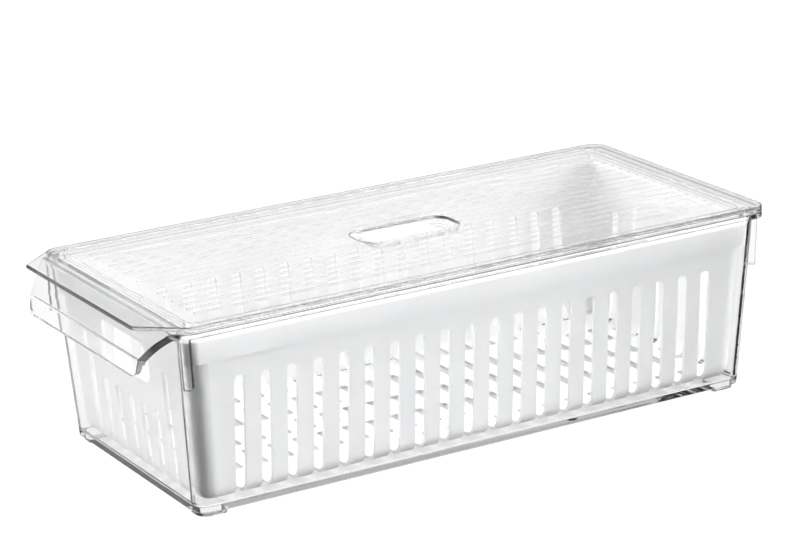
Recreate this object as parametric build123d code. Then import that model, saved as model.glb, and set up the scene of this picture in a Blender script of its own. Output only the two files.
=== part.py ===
from build123d import *
import os
from math import radians, tan

# Fridge storage bin: a clear outer bin with a moulded handle, a white slotted basket
# that stands inside it, and a clear lift-off lid with a sliding vent button.
# Millimetres, +Z up. The handle faces -Y and the bin's length runs along Y.
# The origin is the bottom centre of the whole object's box.

# Outer bin
rim_width = 160.0
rim_length = 350.4
rim_height = 2.5
rim_corner = 10.0
rim_edge_round = 1.1
total_height = 101.8
base_width = 143.0
base_length = 328.0
bin_corner = 8.0
draft_angle = 3.65
wall = 2.2
bin_floor = 2.4
bin_outer_round = 0.6
bin_inner_round = 2.6

# Handle, a bent lip that hangs from the front of the rim
tip_reach = 14.0
tip_width = 122.0
side_lean = 0.86
shoulder_round = 6.0
tip_round = 1.5
handle_thickness = 2.8
handle_flat = 0.4
lip_root = 8.0
handle_bend_round = 5.0
slope_bulge = 1.0
slope_arc_round = 40.0
crease_reach = 12.0
crease_drop = 13.0
crease_round = 3.4
skirt_drop = 22.7
skirt_setback = 0.3
skirt_corner_round = 7.0

# Stacking feet and corner lugs of the bin
foot_height = 2.5
foot_size = (12.5, 15.0)
foot_inset = 2.4
foot_corner = 6.0
foot_inner_corner = 2.0
lug_width = 4.6
lug_proud = 2.5
lug_lean = 2.6
lug_length = 26.6
lug_end_round = 1.4

# White basket
basket_wall = 1.8
basket_inset = 4.4
basket_stand = 1.3
basket_corner = 9.0
basket_bottom_round = 8.0
basket_top = 93.3
collar_bottom = 80.6
collar_inset = 2.6
collar_corner = 6.0
collar_round = 1.2
slot_pitch = 14.6
slot_width = 5.7
slot_round = 2.0
slots_per_side = 20
slot_top = 70.3
side_slot_inner_end = 47.7
mid_slot_span = (15.9, 38.0)
centre_slot_half = 8.7
low_end_slot_top = 45.0
high_end_slot_top = 69.0
low_end_slots = 5
end_slot_inner_end = 149.0
hand_hole_width = 54.0
hand_hole_bottom = 57.4
hand_hole_top = 78.0
hand_hole_round = 6.0
basket_foot_radius = 3.0
basket_foot_x = 42.8
basket_foot_y = 94.9

# Clear lid. Its sides and rear are thickened by a flange that rests on the rim, with a hair of
# air between them, and its front tab stands clear of the handle
lid_plate = 2.1
lid_gap = 0.1
lid_edge_round = 0.9
flange_drop = 1.3
flange_width = 3.0
flange_setback = 4.5
frame_half_width = 74.3
frame_half_length = 164.8
frame_thickness = 1.8
frame_drop = 2.8
frame_corner = 7.0
rib_count = 16
rib_pitch = 7.8
rib_half_length = 154.6
rib_width = 1.1
rib_depth = 0.7
rib_clearance = 3.0

# Vent in the lid
mouth_size = (23.4, 58.8)
mouth_centre_y = -2.1
mouth_corner = 8.0
base_size = (20.6, 50.2)
base_centre_y = 0.6
base_corner = 5.6
pocket_depth = 3.75
pocket_wall = 1.8
slider_width = 19.0
slider_length = 39.4
slider_corner = 5.0
slider_height = 2.2
slider_edge_round = 0.7
slider_end_gap = 0.4
running_gap = 0.15
stem_width = 5.0
stem_length = 8.0
stem_gap = 0.35
air_hole = (13.0, 7.4)
air_hole_round = 2.0
air_hole_end_margin = 1.3
keeper_width = 12.0
keeper_length = 15.0
keeper_height = 1.2
keeper_corner = 2.5
keeper_gap = 0.05
barb_height = 0.7
barb_reach = 0.6

# Sizes that follow from the ones above
slope = tan(radians(draft_angle))
lid_low = total_height - lid_plate
flange_low = lid_low - flange_drop
rim_top = flange_low - lid_gap
rim_bottom = rim_top - rim_height
floor_top = foot_height + bin_floor
basket_low = floor_top + basket_stand
basket_floor_top = basket_low + basket_wall
front_y = -rim_length / 2
tip_y = front_y - tip_reach
shoulder_y = tip_y + (rim_width - tip_width) / 2 / side_lean
centre_y = tip_reach / 2
pocket_floor_top = total_height - pocket_depth
pocket_floor_low = pocket_floor_top - pocket_wall
slider_low = pocket_floor_top + running_gap
keeper_top = pocket_floor_low - running_gap
slider_travel = base_size[1] - slider_length - 2 * slider_end_gap
slider_rest_y = base_centre_y - slider_travel / 2
past = 20.0
skirt_overrun = 3.0

# Limits that pick faces and edges by their direction or place
near = 0.01
slight = 0.02
narrow = 0.2
steep = 0.5


def half_width_at(z):
    return base_width / 2 + (z - foot_height) * slope


def half_length_at(z):
    return base_length / 2 + (z - foot_height) * slope


def drafted_block(low, high, inset, corner):
    # a block that widens upwards with the bin's wall and stays inset from its outside
    base = Rectangle(2 * (half_width_at(low) - inset), 2 * (half_length_at(low) - inset))
    block = extrude(Plane.XY.offset(low) * base, high - low, taper=-draft_angle)
    uprights = block.edges().filter_by(lambda edge: abs(edge.tangent_at(0).Z) > steep)
    return fillet(uprights, corner)


def slab(width, length, corner, low, high):
    return extrude(Plane.XY.offset(low) * RectangleRounded(width, length, corner), high - low)


def box_between(x, y, z):
    size = [b - a for a, b in (x, y, z)]
    middle = [(a + b) / 2 for a, b in (x, y, z)]
    return Pos(*middle) * Box(*size)


def lowest_edges(solid):
    return solid.faces().sort_by(Axis.Z)[0].edges()


def highest_edges(solid):
    return solid.faces().sort_by(Axis.Z)[-1].edges()


def on_four_corners(solid):
    pair = [solid, mirror(solid, Plane.YZ)]
    return pair + [mirror(piece, Plane.XZ) for piece in pair]


def rim_outline():
    # the outline that the rim and the lid share, seen from above
    half = rim_width / 2
    rear = rim_length / 2
    half_tip = tip_width / 2
    right = [(half_tip, tip_y), (half, shoulder_y), (half, rear)]
    left = [(-x, y) for x, y in reversed(right)]
    face = make_face(Polyline(*right, *left, close=True))
    face = fillet(face.vertices().filter_by(lambda v: v.Y > 0), rim_corner)
    face = fillet(face.vertices().filter_by(lambda v: abs(v.Y - shoulder_y) < near), shoulder_round)
    return fillet(face.vertices().filter_by(lambda v: abs(v.Y - tip_y) < near), tip_round)


def skin_profile():
    # side view of the lip: flat, bend, gently arched slope, crease, upright skirt
    low = rim_top - skirt_drop
    bend = Vector(front_y + handle_flat, rim_top)
    crease = Vector(front_y - crease_reach, rim_top - crease_drop)
    chord = crease - bend
    arch = (bend + crease) / 2 + Vector(chord.Y, -chord.X).normalized() * slope_bulge
    foot = crease + (Vector(tip_y + skirt_setback, low) - crease) * skirt_overrun
    corners = [bend, arch, crease, foot, Vector(0, foot.Y), Vector(0, rim_top)]
    face = make_face(Polyline(*corners, close=True))
    for corner, radius in ((bend, handle_bend_round), (arch, slope_arc_round), (crease, crease_round)):
        face = fillet(face.vertices().sort_by_distance(corner)[0], radius)
    skin = face - offset(face, amount=-handle_thickness, kind=Kind.INTERSECTION)
    keep = Pos((front_y + lip_root + tip_y) / 2, (low + rim_top) / 2)
    return skin & keep * Rectangle(front_y + lip_root - tip_y, skirt_drop)


def skirt_corner():
    # what is cut off the skirt's lower corner to round it
    low = rim_top - skirt_drop
    centre_x = tip_width / 2 + tip_round - skirt_corner_round
    block = box_between((centre_x, rim_width), (tip_y - past, front_y), (low, low + skirt_corner_round))
    turned = Pos(centre_x, tip_y, low + skirt_corner_round) * Rot(90, 0, 0)
    return block - turned * Cylinder(skirt_corner_round, rim_width)


def looks_outward(face):
    normal = face.normal_at()
    return normal.Z > slight or normal.Y < -steep


def is_outline_side(face):
    normal = face.normal_at()
    is_skirt = abs(normal.X) < narrow and face.center().Y < front_y
    return abs(normal.Z) < near and not is_skirt


def rim_and_handle():
    lip = extrude(Plane.YZ * skin_profile(), rim_width / 2, both=True)
    plate_y = (front_y + lip_root / 2, rim_length / 2)
    plate = box_between((-rim_width / 2, rim_width / 2), plate_y, (rim_bottom, rim_top))
    solid = (lip + plate) & extrude(Plane.XY * rim_outline(), total_height)
    corner = skirt_corner()
    solid = solid - corner - mirror(corner, Plane.YZ)
    side_edges = solid.faces().filter_by(is_outline_side).edges()
    skin_faces = [face for face in solid.faces().filter_by(looks_outward) if not is_outline_side(face)]
    visible_edges = [edge for face in skin_faces for edge in face.edges() if edge in side_edges]
    return fillet(visible_edges, rim_edge_round)


def foot():
    half_x = base_width / 2 - foot_inset
    half_y = base_length / 2 - foot_inset
    pad = Rectangle(*foot_size)
    pad = fillet(pad.vertices(), foot_inner_corner)
    outer = fillet(Rectangle(2 * half_x, 2 * half_y).vertices(), foot_corner)
    centre = Pos(half_x - foot_size[0] / 2, half_y - foot_size[1] / 2)
    return extrude((centre * pad) & outer, foot_height + bin_outer_round)


def lug():
    # an upright rib across the wall's corner, with a round lower end and a leaning outer edge
    apex = Vector(half_width_at(rim_bottom) - bin_corner, half_length_at(rim_bottom) - bin_corner)
    outward = Vector(1, 1).normalized()
    outer_end = apex + outward * (bin_corner + lug_proud)
    plane = Plane(origin=(outer_end.X, outer_end.Y, rim_bottom), x_dir=(-1, 1, 0), z_dir=(1, 1, 0))
    face = Rectangle(lug_width, 2 * lug_length)
    face = fillet(face.vertices().filter_by(lambda v: v.Y < 0), lug_end_round)
    upper = Rectangle(lug_width, 2 * lug_length, align=(Align.CENTER, Align.MAX))
    rib = extrude(plane * (face & upper), -bin_corner)
    side = Plane(origin=plane.origin, x_dir=(1, 1, 0), z_dir=(1, -1, 0))
    foot_x = -lug_length * tan(radians(lug_lean))
    lean = make_face(Polyline((0, 0), (foot_x, -lug_length), (-past, -lug_length), (-past, 0), close=True))
    return rib & extrude(side * lean, lug_width, both=True)


def bin_shell():
    body = drafted_block(foot_height, rim_top - rim_height / 2, 0, bin_corner)
    body = fillet(lowest_edges(body), bin_outer_round)
    body = body + rim_and_handle()
    body = body + on_four_corners(lug())
    body = body + on_four_corners(foot())
    hollow = drafted_block(floor_top, rim_top + rim_height, wall, bin_corner - wall)
    return body - fillet(lowest_edges(hollow), bin_inner_round)


def slot_cutter(inner_end, top):
    # a slot through an upright wall and on into the floor, along +X
    upright = Plane.YZ * RectangleRounded(slot_width, 2 * top, slot_round)
    length = rim_length
    lying = Pos(inner_end + length / 2, 0) * RectangleRounded(length, slot_width, slot_round)
    return extrude(upright, length) & extrude(lying, top)


def floor_slot(low_x, high_x):
    centre = Pos((low_x + high_x) / 2, 0)
    return centre * slab(high_x - low_x, slot_width, slot_round, 0, collar_bottom)


def side_slots():
    right = slot_cutter(side_slot_inner_end, slot_top)
    middle = floor_slot(*mid_slot_span)
    centre = floor_slot(-centre_slot_half, centre_slot_half)
    row = [right, mirror(right, Plane.YZ), middle, mirror(middle, Plane.YZ), centre]
    rows = [(i - (slots_per_side - 1) / 2) * slot_pitch for i in range(slots_per_side)]
    return [Pos(0, y) * cut for y in rows for cut in row]


def end_slots():
    low = Rot(0, 0, 90) * slot_cutter(end_slot_inner_end, low_end_slot_top)
    high = Rot(0, 0, 90) * slot_cutter(end_slot_inner_end, high_end_slot_top)
    outermost = (low_end_slots + 1) / 2
    places = [(i - (low_end_slots - 1) / 2, low) for i in range(low_end_slots)]
    places += [(-outermost, high), (outermost, high)]
    rear = [Pos(column * slot_pitch, 0) * cut for column, cut in places]
    return rear + [mirror(cut, Plane.XZ) for cut in rear]


def hand_holes():
    height = hand_hole_top - hand_hole_bottom
    face = Pos(0, hand_hole_bottom + height / 2) * RectangleRounded(hand_hole_width, height, hand_hole_round)
    return extrude(Plane.XZ * face, rim_length / 2, both=True)


def basket():
    outer = drafted_block(basket_low, basket_top - collar_round, basket_inset, basket_corner)
    outer = fillet(lowest_edges(outer), basket_bottom_round)
    outer = outer + drafted_block(collar_bottom, basket_top, collar_inset, collar_corner)
    inner_inset = basket_inset + basket_wall
    hollow = drafted_block(basket_floor_top, basket_top + past, inner_inset, basket_corner - basket_wall)
    shell = outer - fillet(lowest_edges(hollow), basket_bottom_round - basket_wall)
    shell = fillet(highest_edges(shell), collar_round)
    shell = shell - side_slots() - end_slots() - hand_holes()
    peg_height = basket_low - floor_top + basket_wall / 2
    peg_middle = floor_top + peg_height / 2
    peg = Pos(basket_foot_x, basket_foot_y, peg_middle) * Cylinder(basket_foot_radius, peg_height)
    return shell + on_four_corners(peg)


def lid_ribs():
    xs = [(i - (rib_count - 1) / 2) * rib_pitch for i in range(rib_count)]
    span_y = (-rib_half_length, rib_half_length)
    span_z = (lid_low - rib_depth, lid_low + lid_plate / 2)
    ribs = [box_between((x - rib_width / 2, x + rib_width / 2), span_y, span_z) for x in xs]
    clear_width = mouth_size[0] + 2 * rib_clearance
    clear_length = mouth_size[1] + 2 * rib_clearance
    clear = slab(clear_width, clear_length, mouth_corner, lid_low - past, lid_low)
    return [rib - Pos(0, mouth_centre_y) * clear for rib in ribs]


def tapered_pocket(grow, low, high):
    # the recess is steep at the rear and slopes at the front, where a finger goes in
    mouth = RectangleRounded(mouth_size[0] + 2 * grow, mouth_size[1] + 2 * grow, mouth_corner + grow)
    base = RectangleRounded(base_size[0] + 2 * grow, base_size[1] + 2 * grow, base_corner + grow)
    return loft([Pos(0, base_centre_y, low) * base, Pos(0, mouth_centre_y, high) * mouth])


def rounded_plate(low):
    plate = extrude(Plane.XY.offset(low) * rim_outline(), total_height - low)
    return fillet(highest_edges(plate) + lowest_edges(plate), lid_edge_round)


def lid_flange():
    # a band under the lid's two long edges and its rear edge
    inner_width = rim_width - 2 * flange_width
    inner_length = rim_length - 2 * flange_width
    inside = slab(inner_width, inner_length, rim_corner - flange_width, 0, total_height)
    front = box_between((-rim_width, rim_width), (tip_y - past, front_y + flange_setback), (0, total_height))
    return rounded_plate(flange_low) - inside - front


def lid():
    plate = rounded_plate(lid_low)
    frame_low = lid_low - frame_drop
    outer_frame = slab(2 * frame_half_width, 2 * frame_half_length, frame_corner, frame_low, lid_low)
    inner_frame = slab(
        2 * (frame_half_width - frame_thickness),
        2 * (frame_half_length - frame_thickness),
        frame_corner - frame_thickness,
        frame_low,
        lid_low,
    )
    plate = plate + lid_flange() + (outer_frame - inner_frame) + lid_ribs()
    plate = plate + tapered_pocket(pocket_wall, pocket_floor_low, lid_low + lid_plate / 2)
    plate = plate - tapered_pocket(0, pocket_floor_top, total_height)
    through_low = pocket_floor_low - past
    stem_slot_width = stem_width + 2 * stem_gap
    stem_slot_length = stem_length + slider_travel + 2 * stem_gap
    stem_slot = slab(stem_slot_width, stem_slot_length, stem_gap, through_low, total_height)
    hole_y = base_centre_y + base_size[1] / 2 - air_hole_end_margin - air_hole[1] / 2
    hole = slab(*air_hole, air_hole_round, through_low, total_height)
    return plate - Pos(0, base_centre_y) * stem_slot - Pos(0, hole_y) * hole


def vent_slider():
    button = slab(slider_width, slider_length, slider_corner, slider_low, slider_low + slider_height)
    button = fillet(highest_edges(button), slider_edge_round)
    keeper_low = keeper_top - keeper_height
    stem = box_between(
        (-stem_width / 2, stem_width / 2),
        (-stem_length / 2, stem_length / 2),
        (keeper_low - barb_height, slider_low + slider_height / 2),
    )
    barb_half = stem_width / 2 + barb_reach
    barb = box_between(
        (-barb_half, barb_half), (-stem_length / 2, stem_length / 2), (keeper_low - barb_height, keeper_low)
    )
    barb = chamfer(lowest_edges(barb).filter_by(Axis.Y), barb_reach)
    return Pos(0, slider_rest_y) * (button + stem + barb)


def vent_keeper():
    plate = slab(keeper_width, keeper_length, keeper_corner, keeper_top - keeper_height, keeper_top)
    opening = box_between(
        (-stem_width / 2 - keeper_gap, stem_width / 2 + keeper_gap),
        (-stem_length / 2 - keeper_gap, stem_length / 2 + keeper_gap),
        (keeper_top - past, keeper_top + past),
    )
    return Pos(0, slider_rest_y) * (plate - opening)


os.makedirs("parts", exist_ok=True)
for make in (bin_shell, basket, lid, vent_slider, vent_keeper):
    export_step(Pos(0, centre_y) * make(), "parts/" + make.__name__ + ".step")
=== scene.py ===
from math import cos, radians, sin

import bpy
from mathutils import Matrix, Vector

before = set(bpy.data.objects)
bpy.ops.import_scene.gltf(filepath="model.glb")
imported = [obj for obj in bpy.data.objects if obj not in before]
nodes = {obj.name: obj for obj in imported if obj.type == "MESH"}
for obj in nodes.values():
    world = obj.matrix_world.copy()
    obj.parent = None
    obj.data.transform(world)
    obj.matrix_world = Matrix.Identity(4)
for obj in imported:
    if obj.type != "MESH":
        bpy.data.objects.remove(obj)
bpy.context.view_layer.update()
scene = bpy.context.scene

# Camera, solved from the photograph: metres and degrees in the part's own frame
CAMERA_PLACE = Vector((1.29729, -0.7524, 0.55439))
CAMERA_AZIMUTH = radians(59.906)
CAMERA_DOWN = radians(17.743)
CAMERA_ROLL = radians(-1.967)
FOCAL_PIXELS = 3011.25
PHOTO_WIDTH = 792
SENSOR_WIDTH = 36.0
CAMERA_NEAR = 0.01

# The white table that the camera sees, a floor just under the feet
TABLE_WIDTH = 8.0
TABLE_DROP = 0.0002
TABLE_GREY = 0.06
TABLE_ROUGHNESS = 0.9
TABLE_GLOW = 0.96

# The sky as the eye and clear plastic see it: a white table below the horizon, a pale backdrop
# beyond the object, a soft box overhead that leans away from the camera and a grey room elsewhere.
# A SIDE is the direction of a middle, and an EDGE is where it fades in, as the cosine of the angle
# from that middle or, for the table, as the height of the direction.
SKY_TABLE = 1.0
TABLE_EDGE = (0.0, -0.04)
SKY_DARK = 0.3
SKY_BACK = 0.8
BACK_SIDE = (-0.84, 0.49, 0.22)
BACK_EDGE = (0.1, 0.45)
SKY_TOP = 1.2
TOP_SIDE = (-0.38, 0.08, 0.92)
TOP_EDGE = (0.74, 0.88)

# A dark card on each side draws the plastic's edges. For each: degrees to the right of straight
# ahead, half its width in degrees, and how much of the sky's light is left where it is seen. It
# fades out over CARD_BLUR degrees at its sides, and over two heights of the direction at each end.
CARDS = ((75.0, 35.0, 0.0), (-37.0, 9.0, 0.1))
CARD_BLUR = 6.0
CARD_LOW_END = (-0.45, -0.65)
CARD_HIGH_END = (0.1, 0.3)

# White surfaces are lit by the same overhead box, a soft box on each side and a dim fill. For each
# side box: the direction of its middle, where it fades in, and its level.
LIGHT_TOP = 3.3
LIGHT_FILL = 0.04
LIGHT_SIDES = (
    ((0.68, 0.73, 0.32), (0.9, 0.97), 13.0),
    ((-0.66, -0.72, 0.32), (0.9, 0.97), 9.6),
)
PICTURE_GAMMA = 0.85

# Clear plastic. Long ways through it, such as along its edges, lose light.
CLEAR_TINT = (0.985, 0.987, 0.988, 1)
CLEAR_IOR = 1.57
CLEAR_DEPTH_TINT = (0.5, 0.5, 0.5, 1)
CLEAR_DEPTH_DENSITY = 6.0
CLEAR_WAVE = {"scale": 9.0, "detail": 0.0}
CLEAR_WAVE_HEIGHT = {"strength": 0.01, "distance": 0.001}

# White plastic of the basket, satin with a fine grain
WHITE_TINT = (0.9, 0.9, 0.902, 1)
WHITE_IOR = 1.49
WHITE_CLOUD = {"scale": 20.0, "detail": 2.0}
WHITE_ROUGHNESS = (0.36, 0.5)
WHITE_GRAIN = {"scale": 900.0, "detail": 4.0, "roughness": 0.6}
WHITE_GRAIN_HEIGHT = {"strength": 0.08, "distance": 0.0002}

# White plastic of the vent, smoother than the basket's
VENT_TINT = (0.92, 0.92, 0.92, 1)
VENT_CLOUD = {"scale": 60.0, "detail": 2.0}
VENT_ROUGHNESS = (0.22, 0.32)

# Clear walls behind clear walls need many bounces, and white surfaces few
CLEAR_BOUNCES = 96
WHITE_BOUNCES = 6
TRANSPARENT_BOUNCES = 16


def shader_tree(name, tint):
    material = bpy.data.materials.new(name)
    material.use_nodes = True
    tree = material.node_tree
    shader = tree.nodes["Principled BSDF"]
    shader.inputs["Base Color"].default_value = tint
    return material, tree, shader


def noise(tree, scale, detail, roughness=0.5):
    place = tree.nodes.new("ShaderNodeTexCoord")
    node = tree.nodes.new("ShaderNodeTexNoise")
    node.inputs["Scale"].default_value = scale
    node.inputs["Detail"].default_value = detail
    node.inputs["Roughness"].default_value = roughness
    tree.links.new(place.outputs["Object"], node.inputs["Vector"])
    return node.outputs["Fac"]


def map_range(tree, value, levels):
    node = tree.nodes.new("ShaderNodeMapRange")
    node.inputs["To Min"].default_value, node.inputs["To Max"].default_value = levels
    tree.links.new(value, node.inputs["Value"])
    return node


def smooth_step(tree, value, edge, levels):
    node = map_range(tree, value, levels)
    node.interpolation_type = "SMOOTHSTEP"
    node.inputs["From Min"].default_value, node.inputs["From Max"].default_value = edge
    return node.outputs["Result"]


def seen_or_lighting(tree, seen, lighting):
    # one level where glass or the eye sees the sky, another where it lights a white surface
    depth = tree.nodes.new("ShaderNodeLightPath").outputs["Diffuse Depth"]
    node = tree.nodes.new("ShaderNodeMapRange")
    tree.links.new(depth, node.inputs["Value"])
    tree.links.new(seen, node.inputs["To Min"])
    tree.links.new(lighting, node.inputs["To Max"])
    return node.outputs["Result"]


def add_bump(tree, shader, height, strength, distance):
    node = tree.nodes.new("ShaderNodeBump")
    node.inputs["Strength"].default_value = strength
    node.inputs["Distance"].default_value = distance
    tree.links.new(height, node.inputs["Height"])
    tree.links.new(node.outputs["Normal"], shader.inputs["Normal"])


def cloud_roughness(tree, shader, cloud, levels):
    patches = map_range(tree, noise(tree, **cloud), levels)
    tree.links.new(patches.outputs["Result"], shader.inputs["Roughness"])


def clear_plastic():
    material, tree, shader = shader_tree("clear_plastic", CLEAR_TINT)
    shader.inputs["Transmission Weight"].default_value = 1.0
    shader.inputs["IOR"].default_value = CLEAR_IOR
    shader.inputs["Roughness"].default_value = 0.0
    add_bump(tree, shader, noise(tree, **CLEAR_WAVE), **CLEAR_WAVE_HEIGHT)
    depth = tree.nodes.new("ShaderNodeVolumeAbsorption")
    depth.inputs["Color"].default_value = CLEAR_DEPTH_TINT
    depth.inputs["Density"].default_value = CLEAR_DEPTH_DENSITY
    tree.links.new(depth.outputs["Volume"], tree.nodes["Material Output"].inputs["Volume"])
    return material


def white_plastic():
    material, tree, shader = shader_tree("white_plastic", WHITE_TINT)
    shader.inputs["IOR"].default_value = WHITE_IOR
    cloud_roughness(tree, shader, WHITE_CLOUD, WHITE_ROUGHNESS)
    add_bump(tree, shader, noise(tree, **WHITE_GRAIN), **WHITE_GRAIN_HEIGHT)
    return material


def vent_plastic():
    material, tree, shader = shader_tree("vent_plastic", VENT_TINT)
    cloud_roughness(tree, shader, VENT_CLOUD, VENT_ROUGHNESS)
    return material


def floor_material():
    material, tree, shader = shader_tree("floor", (TABLE_GREY, TABLE_GREY, TABLE_GREY, 1))
    shader.inputs["Roughness"].default_value = TABLE_ROUGHNESS
    shader.inputs["Specular IOR Level"].default_value = 0.0
    shader.inputs["Emission Color"].default_value = (1, 1, 1, 1)
    shader.inputs["Emission Strength"].default_value = TABLE_GLOW
    return material


def paint(node, material):
    data = nodes[node].data
    data.materials.clear()
    data.materials.append(material)


def make_floor():
    bpy.ops.mesh.primitive_plane_add(size=TABLE_WIDTH, location=(0, 0, -TABLE_DROP))
    floor = bpy.context.object
    floor.name = "floor"
    floor.data.materials.append(floor_material())
    floor.visible_diffuse = False
    floor.visible_glossy = False
    floor.visible_transmission = False


def make_camera():
    data = bpy.data.cameras.new("camera")
    data.sensor_width = SENSOR_WIDTH
    data.lens = FOCAL_PIXELS * SENSOR_WIDTH / PHOTO_WIDTH
    data.clip_start = CAMERA_NEAR
    camera = bpy.data.objects.new("camera", data)
    scene.collection.objects.link(camera)
    level_forward = Vector((-sin(CAMERA_AZIMUTH), cos(CAMERA_AZIMUTH), 0))
    forward = level_forward * cos(CAMERA_DOWN) - Vector((0, 0, sin(CAMERA_DOWN)))
    level_right = Vector((cos(CAMERA_AZIMUTH), sin(CAMERA_AZIMUTH), 0))
    level_up = level_right.cross(forward)
    right = level_right * cos(CAMERA_ROLL) + level_up * sin(CAMERA_ROLL)
    up = level_up * cos(CAMERA_ROLL) - level_right * sin(CAMERA_ROLL)
    turn = Matrix((right, up, -forward)).transposed()
    camera.matrix_world = Matrix.Translation(CAMERA_PLACE) @ turn.to_4x4()
    scene.camera = camera


def towards(tree, view, side):
    node = tree.nodes.new("ShaderNodeVectorMath")
    node.operation = "DOT_PRODUCT"
    node.inputs[1].default_value = Vector(side).normalized()
    tree.links.new(view, node.inputs[0])
    return node.outputs["Value"]


def maths(tree, operation, first, second):
    node = tree.nodes.new("ShaderNodeMath")
    node.operation = operation
    tree.links.new(first, node.inputs[0])
    tree.links.new(second, node.inputs[1])
    return node.outputs["Value"]


def level_direction(tree, view):
    flat = tree.nodes.new("ShaderNodeVectorMath")
    flat.operation = "MULTIPLY"
    flat.inputs[1].default_value = (1, 1, 0)
    tree.links.new(view, flat.inputs[0])
    unit = tree.nodes.new("ShaderNodeVectorMath")
    unit.operation = "NORMALIZE"
    tree.links.new(flat.outputs["Vector"], unit.inputs[0])
    return unit.outputs["Vector"]


def card_shade(tree, view, upward):
    # 1 where no card is seen, and a card's own level where one is
    level_view = level_direction(tree, view)
    sides = []
    for turn, reach, level in CARDS:
        heading = CAMERA_AZIMUTH - radians(turn)
        middle = towards(tree, level_view, (-sin(heading), cos(heading), 0))
        edge = (cos(radians(reach + CARD_BLUR)), cos(radians(reach)))
        sides.append(smooth_step(tree, middle, edge, (1.0, level)))
    ends = [smooth_step(tree, upward, end, (0.0, 1.0)) for end in (CARD_LOW_END, CARD_HIGH_END)]
    card = maths(tree, "MULTIPLY", *sides)
    return maths(tree, "MAXIMUM", card, maths(tree, "MAXIMUM", *ends))


def sky_seen(tree, view, overhead):
    upward = towards(tree, view, (0, 0, 1))
    back = smooth_step(tree, towards(tree, view, BACK_SIDE), BACK_EDGE, (SKY_DARK, SKY_BACK))
    table = smooth_step(tree, upward, TABLE_EDGE, (0.0, SKY_TABLE))
    top = smooth_step(tree, overhead, TOP_EDGE, (0.0, SKY_TOP))
    bright = maths(tree, "MAXIMUM", maths(tree, "MAXIMUM", back, table), top)
    return maths(tree, "MULTIPLY", bright, card_shade(tree, view, upward))


def sky_lighting(tree, view, overhead):
    lighting = smooth_step(tree, overhead, TOP_EDGE, (LIGHT_FILL, LIGHT_TOP))
    for side, edge, level in LIGHT_SIDES:
        box = smooth_step(tree, towards(tree, view, side), edge, (0.0, level))
        lighting = maths(tree, "MAXIMUM", lighting, box)
    return lighting


def make_sky():
    world = bpy.data.worlds.new("studio")
    world.use_nodes = True
    tree = world.node_tree
    background = tree.nodes["Background"]
    background.inputs["Color"].default_value = (1, 1, 1, 1)
    view = tree.nodes.new("ShaderNodeTexCoord").outputs["Generated"]
    overhead = towards(tree, view, TOP_SIDE)
    seen = sky_seen(tree, view, overhead)
    lighting = sky_lighting(tree, view, overhead)
    tree.links.new(seen_or_lighting(tree, seen, lighting), background.inputs["Strength"])
    scene.world = world


def set_quality():
    scene.view_settings.view_transform = "Standard"
    scene.view_settings.gamma = PICTURE_GAMMA
    cycles = scene.cycles
    cycles.max_bounces = CLEAR_BOUNCES
    cycles.transmission_bounces = CLEAR_BOUNCES
    cycles.glossy_bounces = CLEAR_BOUNCES
    cycles.diffuse_bounces = WHITE_BOUNCES
    cycles.transparent_max_bounces = TRANSPARENT_BOUNCES
    cycles.blur_glossy = 0.0
    cycles.caustics_refractive = True
    cycles.caustics_reflective = True
    cycles.use_denoising = True


clear = clear_plastic()
paint("bin_shell", clear)
paint("lid", clear)
paint("basket", white_plastic())
vent = vent_plastic()
paint("vent_slider", vent)
paint("vent_keeper", vent)
make_floor()
make_camera()
make_sky()
set_quality()
